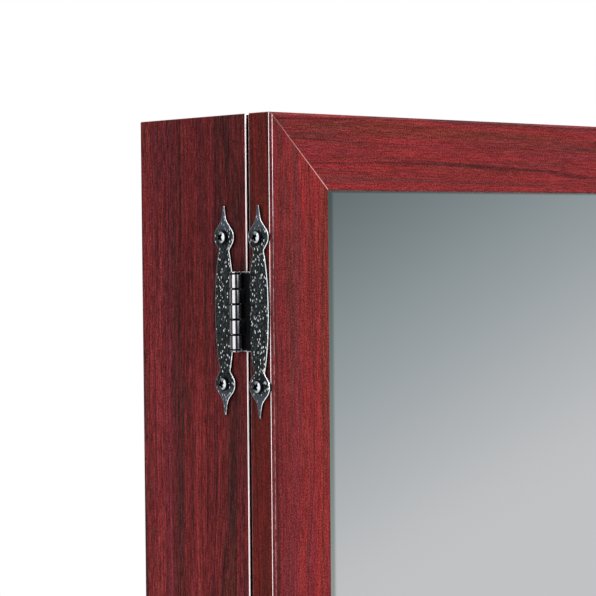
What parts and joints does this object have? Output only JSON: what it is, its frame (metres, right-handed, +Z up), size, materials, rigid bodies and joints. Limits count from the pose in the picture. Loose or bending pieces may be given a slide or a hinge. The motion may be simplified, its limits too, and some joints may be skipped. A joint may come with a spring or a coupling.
{
  "type": "jewelry armoire",
  "caption": "Shallow wall-hung wooden cabinet with a mirrored side-hinged door, fitted inside with hooks, ring rolls, a bracelet rod, shelves and earring bars.",
  "frame": {"origin": "centre of the back face, on the wall plane", "axes": "+X right seen from the front, +Y into the wall, +Z up; the door faces -Y"},
  "size_m": [0.3758, 0.1219, 1.219],
  "materials": {
    "cherry_case": "dark cherry laminate, satin",
    "cherry_frame": "cherry laminate, satin, a little redder than the case",
    "inner_wood": "stained, matte",
    "back_board": "brown board, matte",
    "lining_felt": "black felt on board",
    "ring_velvet": "black velvet over foam",
    "hinge_iron": "black, hammered leaves and smooth barrel, semi-gloss",
    "screw_iron": "black oxide, semi-gloss",
    "knob_iron": "black, semi-gloss",
    "bright_steel": "zinc plated",
    "mirror_glass": "plain silvered glass",
    "catch_plastic": "matte",
    "bumper_rubber": "soft clear-grey rubber"
  },
  "bodies": {
    "case": {"left_side_panel": "cherry_case", "right_side_panel": "cherry_case", "top_panel": "cherry_case", "bottom_panel": "cherry_case", "back_panel": "back_board", "hanging_rail": "back_board", "lower_rail": "back_board", "back_lining": "lining_felt", "keyhole_plate_left": "bright_steel", "keyhole_plate_right": "bright_steel", "necklace_hook_strip": "bright_steel", "ring_tray": "inner_wood", "ring_roll_1": "ring_velvet", "ring_roll_2": "ring_velvet", "ring_roll_3": "ring_velvet", "ring_roll_4": "ring_velvet", "shelf_1": "inner_wood", "shelf_lip_1": "inner_wood", "shelf_2": "inner_wood", "shelf_lip_2": "inner_wood", "shelf_3": "inner_wood", "shelf_lip_3": "inner_wood", "bracelet_rod": "inner_wood", "magnetic_catch": "catch_plastic", "door_bumper_top": "bumper_rubber", "door_bumper_bottom": "bumper_rubber", "hinge_top_case_leaf": "hinge_iron", "hinge_top_pin": "hinge_iron", "hinge_top_case_screw_upper": "screw_iron", "hinge_top_case_screw_lower": "screw_iron", "hinge_mid_case_leaf": "hinge_iron", "hinge_mid_pin": "hinge_iron", "hinge_mid_case_screw_upper": "screw_iron", "hinge_mid_case_screw_lower": "screw_iron", "hinge_bottom_case_leaf": "hinge_iron", "hinge_bottom_pin": "hinge_iron", "hinge_bottom_case_screw_upper": "screw_iron", "hinge_bottom_case_screw_lower": "screw_iron"},
    "door": {"door_stile_hinge": "cherry_frame", "door_stile_latch": "cherry_frame", "door_rail_top": "cherry_frame", "door_rail_bottom": "cherry_frame", "mirror_glass": "mirror_glass", "mirror_backing": "lining_felt", "strike_plate": "bright_steel", "knob": "knob_iron", "knob_screw": "bright_steel", "earring_bar_1": "bright_steel", "earring_bar_2": "bright_steel", "earring_bar_3": "bright_steel", "hinge_top_door_leaf": "hinge_iron", "hinge_top_door_screw_upper": "screw_iron", "hinge_top_door_screw_lower": "screw_iron", "hinge_mid_door_leaf": "hinge_iron", "hinge_mid_door_screw_upper": "screw_iron", "hinge_mid_door_screw_lower": "screw_iron", "hinge_bottom_door_leaf": "hinge_iron", "hinge_bottom_door_screw_upper": "screw_iron", "hinge_bottom_door_screw_lower": "screw_iron"}
  },
  "joints": [
    {"name": "door_hinge", "type": "hinge", "parent": "case", "child": "door", "pos_m": [-0.1889, -0.0809, 0], "axis": [0, 0, -1], "range_deg": [0, 180]}
  ]
}
